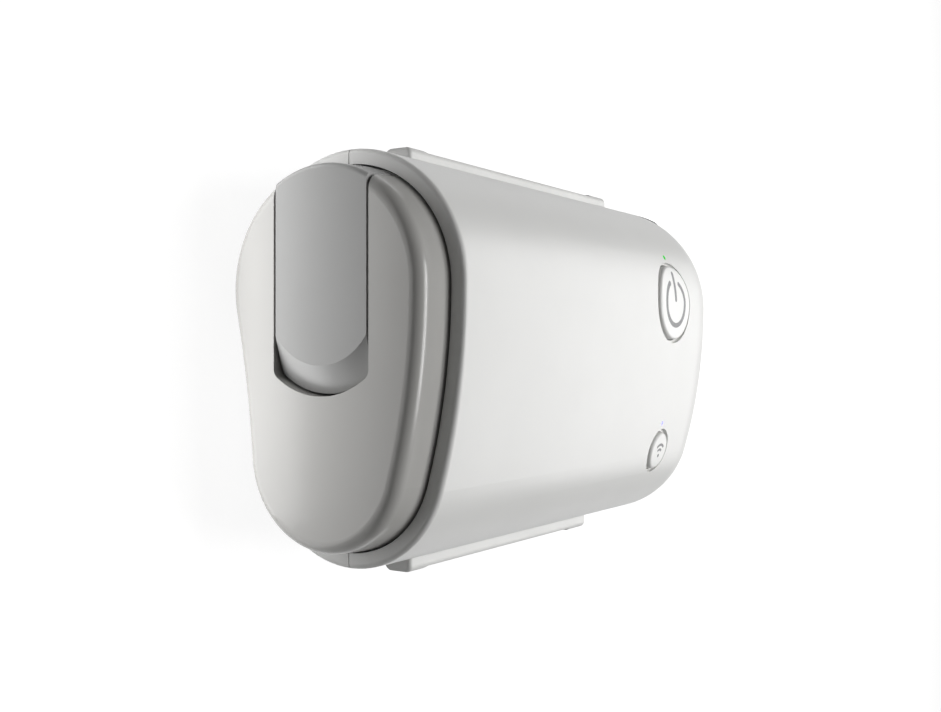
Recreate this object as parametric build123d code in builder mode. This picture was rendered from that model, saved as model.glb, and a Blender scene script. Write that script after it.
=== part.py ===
from build123d import *
import os
from math import atan2, cos, degrees, radians, sin, sqrt

# Compact travel CPAP machine, in millimetres, lying flat with its buttons up.
# X runs from the capped end to the air outlet, Y across the width, Z up from the table.

os.makedirs("parts", exist_ok=True)

# ---- overall size ----
overall_length = 136.0  # cap face to outlet collar
cap_depth = 8.3  # how far the cap stands in front of the shells' rim
collar_proud = 1.6  # how far the outlet collar stands behind the shells

# ---- lobed section: a thick and a thin lobe, bridged by a crown above and a waist below ----
thick_radius = 26.1
thin_radius = 21.7
thick_y = 13.3
thin_y = -17.4
crown_radius = 131.5
waist_radius = 196.0
foot_stand = 0.3  # thick lobe above the table

# ---- shells ----
wall = 1.8
end_radius = 18.0  # rounding of the far end
rim_round = 1.0
rim_band = 3.0  # width of the rim's face around the cap
lip_depth = 4.0  # length of the thick rim that holds the cap
parting_gap = 0.2
tongue_height = 1.2
tongue_fit = 0.08

# ---- cap and filter cover ----
cap_gap = 0.35  # around the cap
cover_gap = 0.5  # around the filter cover
cap_draft = 0.5
cap_round = 2.5
cover_fold = 1.0  # where the cover wraps round the thick side
cap_wall = 1.8
cap_face_wall = 2.0
cover_opening = 22.3  # width of the opening in the cap
opening_end_y = -6.7
opening_end_radius = 17.7
opening_corner = 2.0
opening_chamfer = 0.25
bay_depth = 7.6  # cap face to the floor of the filter bay
bay_floor = 1.6
bay_cheek = 1.6
cover_wall = 1.8
wrap_wall = 1.4  # of the cover's wrapped end
cover_rim = 1.4
cover_back_gap = 0.25  # behind the cover, in front of the bay floor
cover_pocket_y = 1.0  # where the pocket for the filter ends
grip_back = 4.4  # thickness of the cover behind the scoop
scoop_radius = 13.0
scoop_start_y = -1.1
scoop_depth = 2.2
scoop_run = 5.2
filter_thickness = 2.4
filter_clearance = 0.2
filter_hinge_gap = 2.2  # filter to hinge axis
window_width = 17.0
window_start_y = 2.0
window_hinge_gap = 5.4  # last window to hinge axis
window_slots = 5
window_bar = 1.2

# ---- hinge of the filter cover ----
hinge_back = 4.7  # cap face to hinge axis
hinge_inset = 4.95  # cap's thick side to hinge axis
trunnion_radius = 0.8
running_clearance = 0.05
knuckle_radius = 1.3
knuckle_width = 7.0
ear_gap = 0.4
ear_width = 1.6
ear_radius = 1.4
ear_drop = 4.0  # hinge axis to an ear's toe
ear_root = 1.3  # length of an ear's root on the bay floor
well_hinge_gap = 2.6  # hinge axis to the end of the bay floor
well_depth = 11.0  # cap face to the floor of the well that the cover's tail swings into
well_floor = 1.3

# ---- docking rails ----
rail_height = 6.6
thick_rail_proud = 2.6  # beyond the thick lobe
thin_rail_proud = 2.9
rail_setback = 15.0  # behind the rim
lug_length = 6.6
lug_ramp = 1.5
strip_set_back = 0.5  # strip below the lug's and the block's outer face
block_length = 8.0
thick_rail_length = 86.2
thin_rail_length = 74.7
rail_round = 0.8  # of the ends
rail_edge = 1.5  # along the outer face
rail_seat = 0.05

# ---- buttons ----
power_setback, power_y = 33.7, 13.8  # in front of the far end
power_radius = 8.9
wireless_setback, wireless_y = 32.6, -22.3
wireless_radius = 4.45
button_gap = 0.3
moat_width = 0.6
moat_depth = 0.9
button_raise = 0.45
button_edge = 0.7
button_depth = 2.9  # underside of the retaining flange below the housing's surface
flange_width = 1.1
flange_gap = 0.3
stem_radius = 1.6
button_travel = 0.5

# ---- status lights ----
power_light_y = 24.9
wireless_light_y = -15.6
light_setback = 33.6
light_radius = 0.55
light_fit = 0.05
light_body_radius = 1.3
led_length, led_width, led_height = 2.0, 1.25, 0.8
led_gap = 0.2

# ---- board ----
board_under_thick, board_under_thin = 13.3, 8.9  # least depth of its underside below each lobe's top
board_thickness = 1.2
board_length = 55.0
board_setback = 9.4
board_y0, board_y1 = -26.0, 27.0
board_corner = 2.0
board_screw_inset = (5.0, 4.0)  # from the board's front edge, from its far edge
front_screw_y = (23.5, -23.5)
far_screw_y = (21.0, -19.0)
board_boss_radius = 2.2
screw_radius = 0.95
screw_hole = 1.0
screw_clearance_hole = 1.15
screw_head_radius = 1.8
screw_head_height = 1.3
board_screw_reach = 2.4  # into a boss
switch_size = 4.6
switch_height = 2.5
plunger_radius = 1.4
plunger_proud = 0.9
plunger_sunk = 0.8
plunger_clear = 0.2

# ---- case screws ----
case_screw_setback = (12.7, 22.4)  # behind the rim, in front of the far end
case_screw_inset = (10.1, 8.4)  # from the thin side, from the thick side
case_boss_radius = 2.4
case_seat_depth = 12.9  # below the parting plane
case_screw_length = 20.0
screw_spare = 1.0  # hole beyond a screw's tip

# ---- blower, coaxial, along X ----
blower_y = thick_y
blower_head_gap = 0.4  # below the board
blower_foot_gap = 0.2  # between the silicone mounts and the bottom shell
blower_wall = 1.5
bell_front_x = -34.5
bell_flare = 2.2
bell_wall = 1.0
blower_front_x = -30.0
blower_shoulder_x = 12.0
blower_end_x = 19.0
spigot_radius = 9.0
spigot_end_x = 24.0
inlet_radius = 8.0
impeller_x = -19.2  # front of the back plate
impeller_plate = 1.2
impeller_tip_gap = 1.1
impeller_front_x = -27.8
impeller_tip_x = -24.0
impeller_eye = 8.8
impeller_shroud = 0.8
hub_radius = 2.6
hub_foot_radius = 7.0
blade_count = 11
blade_thickness = 0.8
blade_inner_radius = 4.6
blade_sweep = 48.0  # degrees that a blade leans back
press_gap = 0.02
shaft_radius = 1.5
shaft_front_x = -28.0
shaft_end_x = 8.0
shaft_end_play = 0.5
bearing_radius = 4.0
bearing_width = 2.5
bearing_x = (-15.5, 5.0)
bearing_seat = 1.2
magnet_radius = 5.0
magnet_x0, magnet_x1 = -10.0, 1.5
stator_bore = 5.5
stator_radius = 10.4
stator_back = 1.8
stator_x0, stator_x1 = -9.0, 0.5
tooth_width = 2.6
tooth_count = 6
coil_overhang = 1.2
coil_thickness = 1.1
coil_inner_radius = 6.3
cup_radius = 11.6
cup_wall = 1.1
cup_front_x = -17.0
cup_end_x = 9.0
cup_shaft_hole = 2.2
tail_end_x = 15.0
tail_radius = 4.0
vane_count = 9
vane_thickness = 1.0
vane_x0, vane_x1 = -12.0, 2.0
mount_x = (-24.0, -4.0)
mount_width = 5.0
mount_thickness = 0.9
rib_thickness = 2.0
rib_fit = 0.1
rib_start_y = -8.0

# ---- air path ----
foam_gap = 0.4  # beside the shells, the cap and the bosses
foam_x1 = -36.0
foam_bore = 8.0
outlet_y = thick_y
outlet_bore = 9.6
outlet_length = 12.0
collar_wall = 1.5
collar_flange = 1.4
collar_flange_thickness = 2.6
collar_edge = 0.6
collar_fit = 0.08
collar_step = 1.4  # how far the air way narrows behind the bore
seal_length = 2.0
seal_thickness = 0.65
seal_lip = 0.9
nozzle_length = 5.0
nozzle_shoulder = 2.0
duct_wall = 1.2
duct_overlap = 4.0

# ---- DC inlet at the thick side of the far end ----
dc_bezel_length = 14.5
dc_bezel_inset = 12.6  # from the thick side
dc_bezel_below = 7.0  # the parting plane
dc_board_gap = 0.2  # below the board
dc_bezel_corner = 1.0
dc_proud = 0.3
dc_fit = 0.1
dc_axis_inset = 8.0
dc_axis_rise = 0.8
dc_body_length = 10.1
dc_body_half = 3.75
dc_face_setback = 7.8
dc_pocket_half_y, dc_pocket_half_z = 3.6, 4.6
dc_pocket_corner = 1.2
dc_bore = 2.85
dc_bore_depth = 7.6
dc_pin_radius = 0.9
dc_pin_sunk = 0.6
dc_tab_length = 2.0
dc_tab_size = 1.6

# ---- parts on the board: centre along the board, centre across, length, width ----
chip_height = 1.2
chip_sizes = [
    (12.0, 5.0, 9.0, 9.0),
    (15.0, -11.0, 6.0, 6.0),
    (44.0, 9.0, 7.0, 5.0),
    (18.0, 20.0, 5.0, 4.0),
]
radio_along, radio_y = 44.5, -9.0
radio_length, radio_width, radio_height = 12.0, 9.0, 2.0
capacitor_along, capacitor_y = (15.0, 26.0), -15.0
capacitor_radius = 4.5
capacitor_height = 11.0
capacitor_edge = 0.6
sensor_along, sensor_y = 42.0, -8.0
sensor_length, sensor_width, sensor_height = 10.0, 7.0, 4.0
sensor_port_radius = 1.1
sensor_port_length = 2.5
sensor_port_spacing = 5.0

# ---- feet ----
foot_radius = 4.2
foot_thickness = 1.2
foot_pocket = 0.5  # how deep a foot sits in its pedestal
foot_setback = (17.7, 21.4)  # behind the rim, in front of the far end
foot_rim = 1.0
foot_fit = 0.05
foot_edge = 0.3

# ---- worked out from the sizes above ----
seam_z = foot_stand + thick_radius  # parting plane of the shells, through both lobes' centres
thick_side_y = thick_y + thick_radius
thin_side_y = thin_y - thin_radius
overall_width = thick_side_y + thick_rail_proud - thin_side_y + thin_rail_proud
x_cap_face = -overall_length / 2
x_rim = x_cap_face + cap_depth
x_far = overall_length / 2 - collar_proud
x_lip = x_rim + lip_depth
cap_inset = rim_band + cap_gap
bay_x = x_cap_face + bay_depth
well_x = x_cap_face + well_depth
hinge_x = x_cap_face + hinge_back
hinge_y = thick_side_y - cap_inset - hinge_inset
filter_end_y = hinge_y - filter_hinge_gap
window_end_y = hinge_y - window_hinge_gap
well_start_y = hinge_y - well_hinge_gap
ear_toe_y = hinge_y - ear_drop
lobe_spacing = thick_y - thin_y
power_x = x_far - power_setback
wireless_x = x_far - wireless_setback
light_x = x_far - light_setback
board_z = seam_z + min(thick_radius - board_under_thick, thin_radius - board_under_thin)
board_top = board_z + board_thickness
board_x1 = x_far - board_setback
board_x0 = board_x1 - board_length
board_screw_places = [(board_x0 + board_screw_inset[0], y) for y in front_screw_y]
board_screw_places += [(board_x1 - board_screw_inset[1], y) for y in far_screw_y]
switch_top = board_top + switch_height
plunger_top = switch_top + plunger_proud
case_screw_x = (x_rim + case_screw_setback[0], x_far - case_screw_setback[1])
case_screw_y = (thin_side_y + case_screw_inset[0], thick_side_y - case_screw_inset[1])
case_seat_z = seam_z - case_seat_depth
foot_x = (x_rim + foot_setback[0], x_far - foot_setback[1])
mount_bottom_z = foot_stand + wall + blower_foot_gap
blower_radius = (board_z - blower_head_gap - mount_bottom_z - mount_thickness) / 2
blower_z = mount_bottom_z + mount_thickness + blower_radius
impeller_radius = blower_radius - blower_wall - impeller_tip_gap
outlet_z = seam_z
x_outlet = overall_length / 2
collar_radius = outlet_bore + collar_wall
flange_radius = collar_radius + collar_flange
collar_seat_x = x_outlet - collar_flange_thickness
seal_x = x_outlet - outlet_length
collar_back_x = seal_x - seal_length - nozzle_shoulder
duct_bore = outlet_bore - collar_step
nozzle_radius = duct_bore + duct_wall
dc_bezel_x = x_far - dc_bezel_length
dc_bezel_y = (thick_side_y - dc_bezel_inset, thick_side_y + dc_bezel_inset)
dc_bezel_z = (seam_z - dc_bezel_below, board_z - dc_board_gap)
dc_axis_y = thick_side_y - dc_axis_inset
dc_axis_z = seam_z + dc_axis_rise
dc_face_x = x_far - dc_face_setback
dc_body_x = dc_face_x - dc_body_length
dc_bore_x = dc_face_x - dc_bore_depth
dc_tab_x = dc_body_x - dc_tab_length


def bridge_centre(from_thick, from_thin):
    """Centre of an arc that bridges the lobes, below them, from its distances to the lobes' centres."""
    along = (from_thick**2 - from_thin**2 + lobe_spacing**2) / (2 * lobe_spacing)
    return thick_y - along, seam_z - sqrt(from_thick**2 - along**2)


crown_centre = bridge_centre(crown_radius - thick_radius, crown_radius - thin_radius)
waist_centre = bridge_centre(waist_radius + thick_radius, waist_radius + thin_radius)


def bearing_of(start, end):
    """Angle in degrees of the line from one (y, z) point to another."""
    return degrees(atan2(end[1] - start[1], end[0] - start[0]))


def lobed_outline(inset):
    """Filled lobed outline, moved in by inset all round."""
    thick_centre = (thick_y, seam_z)
    thin_centre = (thin_y, seam_z)
    crown_start = bearing_of(crown_centre, thick_centre)
    crown_end = bearing_of(crown_centre, thin_centre)
    waist_start = bearing_of(waist_centre, thin_centre)
    waist_end = bearing_of(waist_centre, thick_centre)
    with BuildSketch() as outline:
        with BuildLine():
            CenterArc(crown_centre, crown_radius - inset, crown_start, crown_end - crown_start)
            CenterArc(thin_centre, thin_radius - inset, crown_end, waist_start + 180 - crown_end)
            CenterArc(waist_centre, waist_radius + inset, waist_start, waist_end - waist_start)
            CenterArc(
                thick_centre, thick_radius - inset, waist_end - 180, crown_start + 180 - waist_end
            )
        make_face()
    return outline.sketch


def section_at(x):
    """Plane across the housing at x, with Y and Z as its own axes."""
    return Plane.YZ.offset(x)


def lobed_form(inset, x_start, x_end):
    """Straight solid of the lobed outline between two places along X."""
    with BuildPart() as form:
        with BuildSketch(section_at(x_start)):
            add(lobed_outline(inset))
        extrude(amount=x_end - x_start)
    return form.part


def housing_form(inset, x_start):
    """Solid of the housing's form from x_start to its rounded far end, moved in by inset."""
    with BuildPart() as form:
        add(lobed_form(inset, x_start, x_far - inset))
        fillet(form.faces().sort_by(Axis.X)[-1].edges(), end_radius - inset)
    return form.part


def band_form(z_low, z_high):
    """Slab between two heights, larger than the housing."""
    with BuildPart() as form:
        with BuildSketch(Plane.XY.offset(z_low)):
            Rectangle(2 * overall_length, 2 * overall_width)
        extrude(amount=z_high - z_low)
    return form.part


def block_form(x_range, y_range, z_range, corner=0.0):
    """Block between two corners, with its edges along X rounded by corner."""
    with BuildPart() as form:
        with BuildSketch(section_at(x_range[0])):
            with Locations((sum(y_range) / 2, sum(z_range) / 2)):
                if corner:
                    RectangleRounded(y_range[1] - y_range[0], z_range[1] - z_range[0], corner)
                else:
                    Rectangle(y_range[1] - y_range[0], z_range[1] - z_range[0])
        extrude(amount=x_range[1] - x_range[0])
    return form.part


def posts_form(places, radius, z_low, z_high):
    """Upright round posts at (x, y) places between two heights."""
    with BuildPart() as form:
        with BuildSketch(Plane.XY.offset(z_low)):
            with Locations(places):
                Circle(radius)
        extrude(amount=z_high - z_low)
    return form.part


def tube_form(plane, outer, inner, length):
    """Straight round tube, or a rod where inner is 0, from a plane along its normal."""
    with BuildPart() as form:
        with BuildSketch(plane):
            Circle(outer)
            if inner:
                Circle(inner, mode=Mode.SUBTRACT)
        extrude(amount=length)
    return form.part


def round_plane(x, y, z):
    """Plane across a round way that runs along X, centred on its axis."""
    return Plane(origin=(x, y, z), x_dir=(0, 1, 0), z_dir=(1, 0, 0))


def turned_form(points, y, z):
    """Ring turned about an axis along X from a closed outline of (x, radius) points."""
    with BuildPart() as form:
        with BuildSketch(Plane(origin=(0, y, z), x_dir=(1, 0, 0), z_dir=(0, -1, 0))):
            with BuildLine():
                Polyline(*points, close=True)
            make_face()
        revolve(axis=Axis((0, y, z), (1, 0, 0)))
    return form.part


def slot_outline(half_width, end_y, end_radius, corner):
    """Slot that runs in from the thick side and ends in a shallow arc with rounded corners."""
    shoulder_y = end_y + end_radius - sqrt(end_radius**2 - half_width**2)
    low, high = seam_z - half_width, seam_z + half_width
    with BuildSketch() as outline:
        with BuildLine():
            Polyline((shoulder_y, high), (thick_side_y, high), (thick_side_y, low), (shoulder_y, low))
            ThreePointArc((shoulder_y, low), (end_y, seam_z), (shoulder_y, high))
        make_face()
        ends = outline.vertices().filter_by_position(Axis.X, shoulder_y - 0.01, shoulder_y + 0.01)
        fillet(ends, corner)
    return outline.sketch


def slot_form(shrink, x_start, x_end, end_y=None):
    """Solid of the cover's slot, moved in by shrink, between two places along X."""
    end = opening_end_y + shrink if end_y is None else end_y
    half_width = cover_opening / 2 - shrink
    corner = max(opening_corner - shrink, opening_chamfer)
    with BuildPart() as form:
        with BuildSketch(section_at(x_start)):
            add(slot_outline(half_width, end, opening_end_radius - shrink, corner))
        extrude(amount=x_end - x_start)
    return form.part


def save(piece, label):
    piece.part.label = label
    export_step(piece.part, f"parts/{label}.step")


# ---- forms that several pieces share ----
outer_form = housing_form(0.0, x_rim)
cavity_form = housing_form(wall, x_lip)
boss_limit = housing_form(wall / 2, x_rim)
mouth_form = lobed_form(rim_band, x_rim - rim_round, x_lip + rim_round)
tongue_form = housing_form((wall + tongue_fit) / 2, x_rim + wall) & band_form(
    seam_z - parting_gap, seam_z + tongue_height
)
groove_form = housing_form((wall - tongue_fit) / 2, x_rim + wall) & band_form(
    seam_z - parting_gap, seam_z + tongue_height + parting_gap
)
above_seam = band_form(seam_z + parting_gap / 2, seam_z + overall_width)
below_seam = band_form(seam_z - overall_width, seam_z - parting_gap / 2)
case_screw_places = [(x, y) for x in case_screw_x for y in case_screw_y]
mount_radius = blower_radius + mount_thickness
outlet_hole = turned_form(
    [
        (dc_bezel_x, 0),
        (dc_bezel_x, collar_radius + collar_fit),
        (collar_seat_x, collar_radius + collar_fit),
        (collar_seat_x, flange_radius + collar_fit),
        (overall_length, flange_radius + collar_fit),
        (overall_length, 0),
    ],
    outlet_y,
    outlet_z,
)
dc_bezel = block_form(
    (dc_bezel_x, x_outlet), dc_bezel_y, dc_bezel_z, dc_bezel_corner
)


def skin_form(depth):
    """The straight lobed solid at a depth below the housing's surface, longer than the housing."""
    return lobed_form(depth, -overall_length, overall_length)


def housing_walls():
    """The whole housing, hollow and open at the rim, before it is parted."""
    with BuildPart() as form:
        add(outer_form)
        fillet(form.faces().sort_by(Axis.X)[0].edges(), rim_round)
        add(cavity_form, mode=Mode.SUBTRACT)
        add(mouth_form, mode=Mode.SUBTRACT)
        add(outlet_hole, mode=Mode.SUBTRACT)
        dc_cut = block_form(
            (dc_bezel_x - dc_fit, x_outlet),
            (dc_bezel_y[0] - dc_fit, dc_bezel_y[1]),
            (dc_bezel_z[0] - dc_fit, dc_bezel_z[1] + dc_fit),
            dc_bezel_corner,
        )
        add(dc_cut, mode=Mode.SUBTRACT)
    return form.part


def blower_ribs():
    """Bulkheads that the blower's two silicone mounts rest in."""
    seat = mount_radius + rib_fit
    with BuildPart() as form:
        for x in mount_x:
            with BuildSketch(section_at(x - rib_thickness / 2)):
                add(lobed_outline(wall / 2))
                with Locations((rib_start_y - overall_width, seam_z)):
                    Rectangle(2 * overall_width, 2 * overall_width, mode=Mode.SUBTRACT)
                with Locations((blower_y, blower_z)):
                    Circle(seat, mode=Mode.SUBTRACT)
                with Locations((blower_y, seam_z)):
                    Rectangle(2 * seat, 2 * (seam_z - blower_z), mode=Mode.SUBTRACT)
            extrude(amount=rib_thickness)
    return form.part


def button_hole(x, y, radius):
    """Hole of a button through the top shell, with the moat around it."""
    hole = posts_form([(x, y)], radius + button_gap, seam_z + tongue_height, overall_width)
    moat = posts_form([(x, y)], radius + button_gap + moat_width, seam_z, overall_width)
    return hole + (moat - skin_form(moat_depth))


walls = housing_walls()
ribs = blower_ribs()
case_tip_z = case_seat_z + case_screw_length
board_tip_z = board_top + board_screw_reach

with BuildPart() as top_shell:
    add(walls)
    add(ribs)
    add(posts_form(case_screw_places, case_boss_radius, seam_z, overall_width) & boss_limit)
    add(posts_form(board_screw_places, board_boss_radius, board_top, overall_width) & boss_limit)
    add(groove_form, mode=Mode.SUBTRACT)
    add(above_seam, mode=Mode.INTERSECT)
    add(posts_form(case_screw_places, screw_hole, seam_z, case_tip_z + screw_spare), mode=Mode.SUBTRACT)
    add(posts_form(board_screw_places, screw_hole, board_top, board_tip_z), mode=Mode.SUBTRACT)
    add(button_hole(power_x, power_y, power_radius), mode=Mode.SUBTRACT)
    add(button_hole(wireless_x, wireless_y, wireless_radius), mode=Mode.SUBTRACT)
    light_places = [(light_x, power_light_y), (light_x, wireless_light_y)]
    light_holes = posts_form(light_places, light_radius + light_fit, board_top, overall_width)
    add(light_holes, mode=Mode.SUBTRACT)
save(top_shell, "top_shell")

thin_feet = [(x, thin_y) for x in foot_x]
foot_places = thin_feet + [(x, thick_y) for x in foot_x]
with BuildPart() as bottom_shell:
    add(walls)
    add(ribs)
    add(posts_form(case_screw_places, case_boss_radius, 0, seam_z) & boss_limit)
    add(posts_form(thin_feet, foot_radius + foot_rim, foot_thickness - foot_pocket, seam_z) - cavity_form)
    add(below_seam, mode=Mode.INTERSECT)
    add(tongue_form - cavity_form - mouth_form - outlet_hole - dc_bezel)
    add(posts_form(case_screw_places, screw_clearance_hole, 0, seam_z), mode=Mode.SUBTRACT)
    add(posts_form(case_screw_places, screw_head_radius + rib_fit, 0, case_seat_z), mode=Mode.SUBTRACT)
    pocket = posts_form(foot_places, foot_radius + foot_fit, 0, foot_thickness + foot_fit)
    add(pocket, mode=Mode.SUBTRACT)
save(bottom_shell, "bottom_shell")

with BuildPart() as feet:
    add(posts_form(foot_places, foot_radius, 0, foot_thickness))
    chamfer(feet.faces().filter_by(Plane.XY).group_by(Axis.Z)[0].edges(), foot_edge)
save(feet, "feet")

with BuildPart() as case_screws:
    add(posts_form(case_screw_places, screw_radius, case_seat_z, case_tip_z))
    add(posts_form(case_screw_places, screw_head_radius, case_seat_z - screw_head_height, case_seat_z))
save(case_screws, "case_screws")


def docking_rail(side, rail_length):
    """Rail over the parting line of one side: front lug, strip, rear block."""
    rail_front_x = x_rim + rail_setback
    end_x = rail_front_x + rail_length
    lug_end = rail_front_x + lug_length
    block_start = end_x - block_length
    proud_y = thick_side_y + thick_rail_proud if side > 0 else thin_side_y - thin_rail_proud
    outer, strip = proud_y, proud_y - side * strip_set_back
    with BuildPart() as rail:
        with BuildSketch(Plane.XY.offset(seam_z - rail_height / 2)):
            with BuildLine():
                Polyline(
                    (rail_front_x, side * thick_y),
                    (rail_front_x, outer),
                    (lug_end - lug_ramp, outer),
                    (lug_end, strip),
                    (block_start, strip),
                    (block_start, outer),
                    (end_x, outer),
                    (end_x, side * thick_y),
                    close=True,
                )
            make_face()
        extrude(amount=rail_height)
        y_range = sorted((0, outer))
        z_range = (seam_z - rail_height / 2, seam_z + rail_height / 2)
        add(block_form((rail_front_x, end_x), y_range, z_range, rail_edge), mode=Mode.INTERSECT)
        fillet(rail.edges().filter_by(Axis.Y).group_by(Axis.X)[0], rail_round)
        ends = rail.edges().filter_by(Axis.Z).group_by(Axis.X)[-1].group_by(Axis.Y)
        fillet(ends[-1 if side > 0 else 0], rail_round)
        add(lobed_form(-rail_seat, x_rim - overall_length, overall_length), mode=Mode.SUBTRACT)
    return rail


side_rail_left = docking_rail(1, thick_rail_length)
save(side_rail_left, "side_rail_left")
side_rail_right = docking_rail(-1, thin_rail_length)
save(side_rail_right, "side_rail_right")


# ---- end cap ----
def capped_form(edge_round):
    """Outside of the cap, drafted towards its face, with the face's edge rounded, and its root."""
    with BuildPart() as form:
        with BuildSketch(section_at(x_cap_face)):
            add(lobed_outline(cap_inset + cap_draft))
        with BuildSketch(section_at(x_rim)):
            add(lobed_outline(cap_inset))
        loft()
        fillet(form.faces().sort_by(Axis.X)[0].edges(), edge_round)
        add(lobed_form(cap_inset, x_rim, x_lip))
    return form.part


cap_form = capped_form(cap_round)
band_low = seam_z - cover_opening / 2
band_high = seam_z + cover_opening / 2
ear_inner = knuckle_width / 2 + ear_gap


def ears():
    """Two ears that lean out from the end of the bay floor and hold the cover's trunnions."""
    root_x = bay_x + bay_floor / 2
    with BuildPart() as form:
        for low in (seam_z - ear_inner - ear_width, seam_z + ear_inner):
            with BuildSketch(Plane.XY.offset(low)):
                with BuildLine():
                    CenterArc((hinge_x, hinge_y), ear_radius, 0, 360)
                    Line((root_x, ear_toe_y - ear_root), (root_x, ear_toe_y))
                make_hull()
                with Locations((hinge_x, hinge_y)):
                    Circle(trunnion_radius + running_clearance, mode=Mode.SUBTRACT)
            extrude(amount=ear_width)
    return form.part


with BuildPart() as end_cap:
    add(cap_form)
    add(lobed_form(cap_inset + cap_wall, x_rim, x_lip), mode=Mode.SUBTRACT)
    inner_inset = cap_inset + cap_draft + cap_wall
    add(lobed_form(inner_inset, x_cap_face + cap_face_wall, x_rim), mode=Mode.SUBTRACT)
    bay_block = block_form(
        (x_cap_face, bay_x + bay_floor),
        (opening_end_y - bay_cheek, thick_side_y),
        (band_low - bay_cheek, band_high + bay_cheek),
    )
    well_block = block_form(
        (x_cap_face, well_x + well_floor),
        (well_start_y - bay_cheek, thick_side_y),
        (band_low - bay_cheek, band_high + bay_cheek),
    )
    add((bay_block + well_block) & cap_form)
    add(slot_form(0, x_cap_face - cap_depth, bay_x), mode=Mode.SUBTRACT)
    well_cut = block_form((x_cap_face, well_x), (well_start_y, thick_side_y), (band_low, band_high))
    add(well_cut, mode=Mode.SUBTRACT)
    pitch = (window_end_y - window_start_y + window_bar) / window_slots
    with BuildSketch(section_at(bay_x)):
        with Locations(((window_start_y + window_end_y) / 2, seam_z)):
            with GridLocations(pitch, 1, window_slots, 1):
                Rectangle(pitch - window_bar, window_width)
    extrude(amount=bay_floor, mode=Mode.SUBTRACT)
    add(ears())
save(end_cap, "end_cap")

with BuildPart() as cap_gasket:
    gasket_x = x_rim + rim_round
    ring = lobed_form(rim_band + rail_seat, gasket_x, gasket_x + wall)
    add(ring - lobed_form(cap_inset - rail_seat, gasket_x, gasket_x + wall))
save(cap_gasket, "cap_gasket")

# ---- filter cover ----
cover_back_x = bay_x - cover_back_gap
scoop_y = scoop_start_y + scoop_radius


def scoop_form():
    """Conical cut of the finger scoop, over the half that faces the cover's free end."""
    points = [
        (x_cap_face, scoop_radius),
        (x_cap_face + 2 * scoop_depth, scoop_radius + 2 * scoop_run),
        (x_cap_face - cap_round, scoop_radius + 2 * scoop_run),
        (x_cap_face - cap_round, scoop_radius),
    ]
    lower_half = block_form(
        (-overall_length, 0), (scoop_y - overall_width, scoop_y), (-overall_width, overall_width)
    )
    return turned_form(points, scoop_y, seam_z) & lower_half


def knuckle():
    """Barrel on the hinge axis with its web to the cover's wrapped end and its two trunnions."""
    web_end_x = cover_back_x
    web_start_x = hinge_x - knuckle_radius
    with BuildPart() as form:
        with BuildSketch(Plane.XY.offset(seam_z - knuckle_width / 2)):
            with Locations((hinge_x, hinge_y)):
                Circle(knuckle_radius)
            with Locations(((web_start_x + web_end_x) / 2, (hinge_y + thick_side_y) / 2)):
                Rectangle(web_end_x - web_start_x, thick_side_y - hinge_y)
        extrude(amount=knuckle_width)
        add(lobed_form(cap_inset + cap_draft + rim_round, x_cap_face, x_lip), mode=Mode.INTERSECT)
        reach = ear_inner + ear_width - running_clearance
        with BuildSketch(Plane.XY.offset(seam_z - reach)):
            with Locations((hinge_x, hinge_y)):
                Circle(trunnion_radius)
        extrude(amount=2 * reach)
    return form.part


with BuildPart() as filter_cover:
    add(slot_form(cover_gap, x_cap_face - cap_depth, cover_back_x))
    add(capped_form(cover_fold), mode=Mode.INTERSECT)
    pocket_start = x_cap_face + cover_wall
    pocket_outline = lobed_form(cap_inset + cap_draft + wrap_wall, pocket_start, x_lip)
    pocket = slot_form(cover_gap + cover_rim, pocket_start, x_lip, cover_pocket_y)
    add(pocket & pocket_outline, mode=Mode.SUBTRACT)
    grip_relief = block_form(
        (x_cap_face + grip_back, x_rim), (-thick_side_y, cover_pocket_y + wall), (0, overall_width)
    )
    add(grip_relief, mode=Mode.SUBTRACT)
    add(scoop_form(), mode=Mode.SUBTRACT)
    add(knuckle())
save(filter_cover, "filter_cover")

with BuildPart() as air_filter:
    filter_x = x_cap_face + cover_wall + filter_clearance
    edge = cover_gap + cover_rim + filter_clearance
    add(slot_form(edge, filter_x, filter_x + filter_thickness, cover_pocket_y + filter_clearance))
    with BuildSketch(section_at(filter_x)):
        with Locations((filter_end_y + thick_side_y, seam_z)):
            Rectangle(2 * thick_side_y, 2 * thick_side_y)
    extrude(amount=filter_thickness, mode=Mode.SUBTRACT)
save(air_filter, "air_filter")


# ---- buttons, lights and their switches ----
def round_button(x, y, radius):
    """Raised button that follows the surface, with its retaining flange and its stem."""
    with BuildPart() as button:
        add(posts_form([(x, y)], radius, seam_z, overall_width))
        add(skin_form(-button_raise), mode=Mode.INTERSECT)
        fillet(button.faces().sort_by(Axis.Z)[-1].edges(), button_edge)
        flange = posts_form([(x, y)], radius + flange_width, seam_z, overall_width)
        add(flange & skin_form(wall + flange_gap))
        add(skin_form(button_depth), mode=Mode.SUBTRACT)
        stem = posts_form([(x, y)], stem_radius, plunger_top, overall_width)
        add(stem & skin_form(wall))
    return button


power_button = round_button(power_x, power_y, power_radius)
save(power_button, "power_button")
wireless_button = round_button(wireless_x, wireless_y, wireless_radius)
save(wireless_button, "wireless_button")

button_places = {"power": (power_x, power_y), "wireless": (wireless_x, wireless_y)}
bore_depth = plunger_sunk + button_travel + plunger_clear
with BuildPart() as tact_switches:
    for place in button_places.values():
        with Locations((*place, board_top + switch_height / 2)):
            Box(switch_size, switch_size, switch_height)
    places = list(button_places.values())
    bore = plunger_radius + running_clearance
    add(posts_form(places, bore, switch_top - bore_depth, overall_width), mode=Mode.SUBTRACT)
save(tact_switches, "tact_switches")

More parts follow.
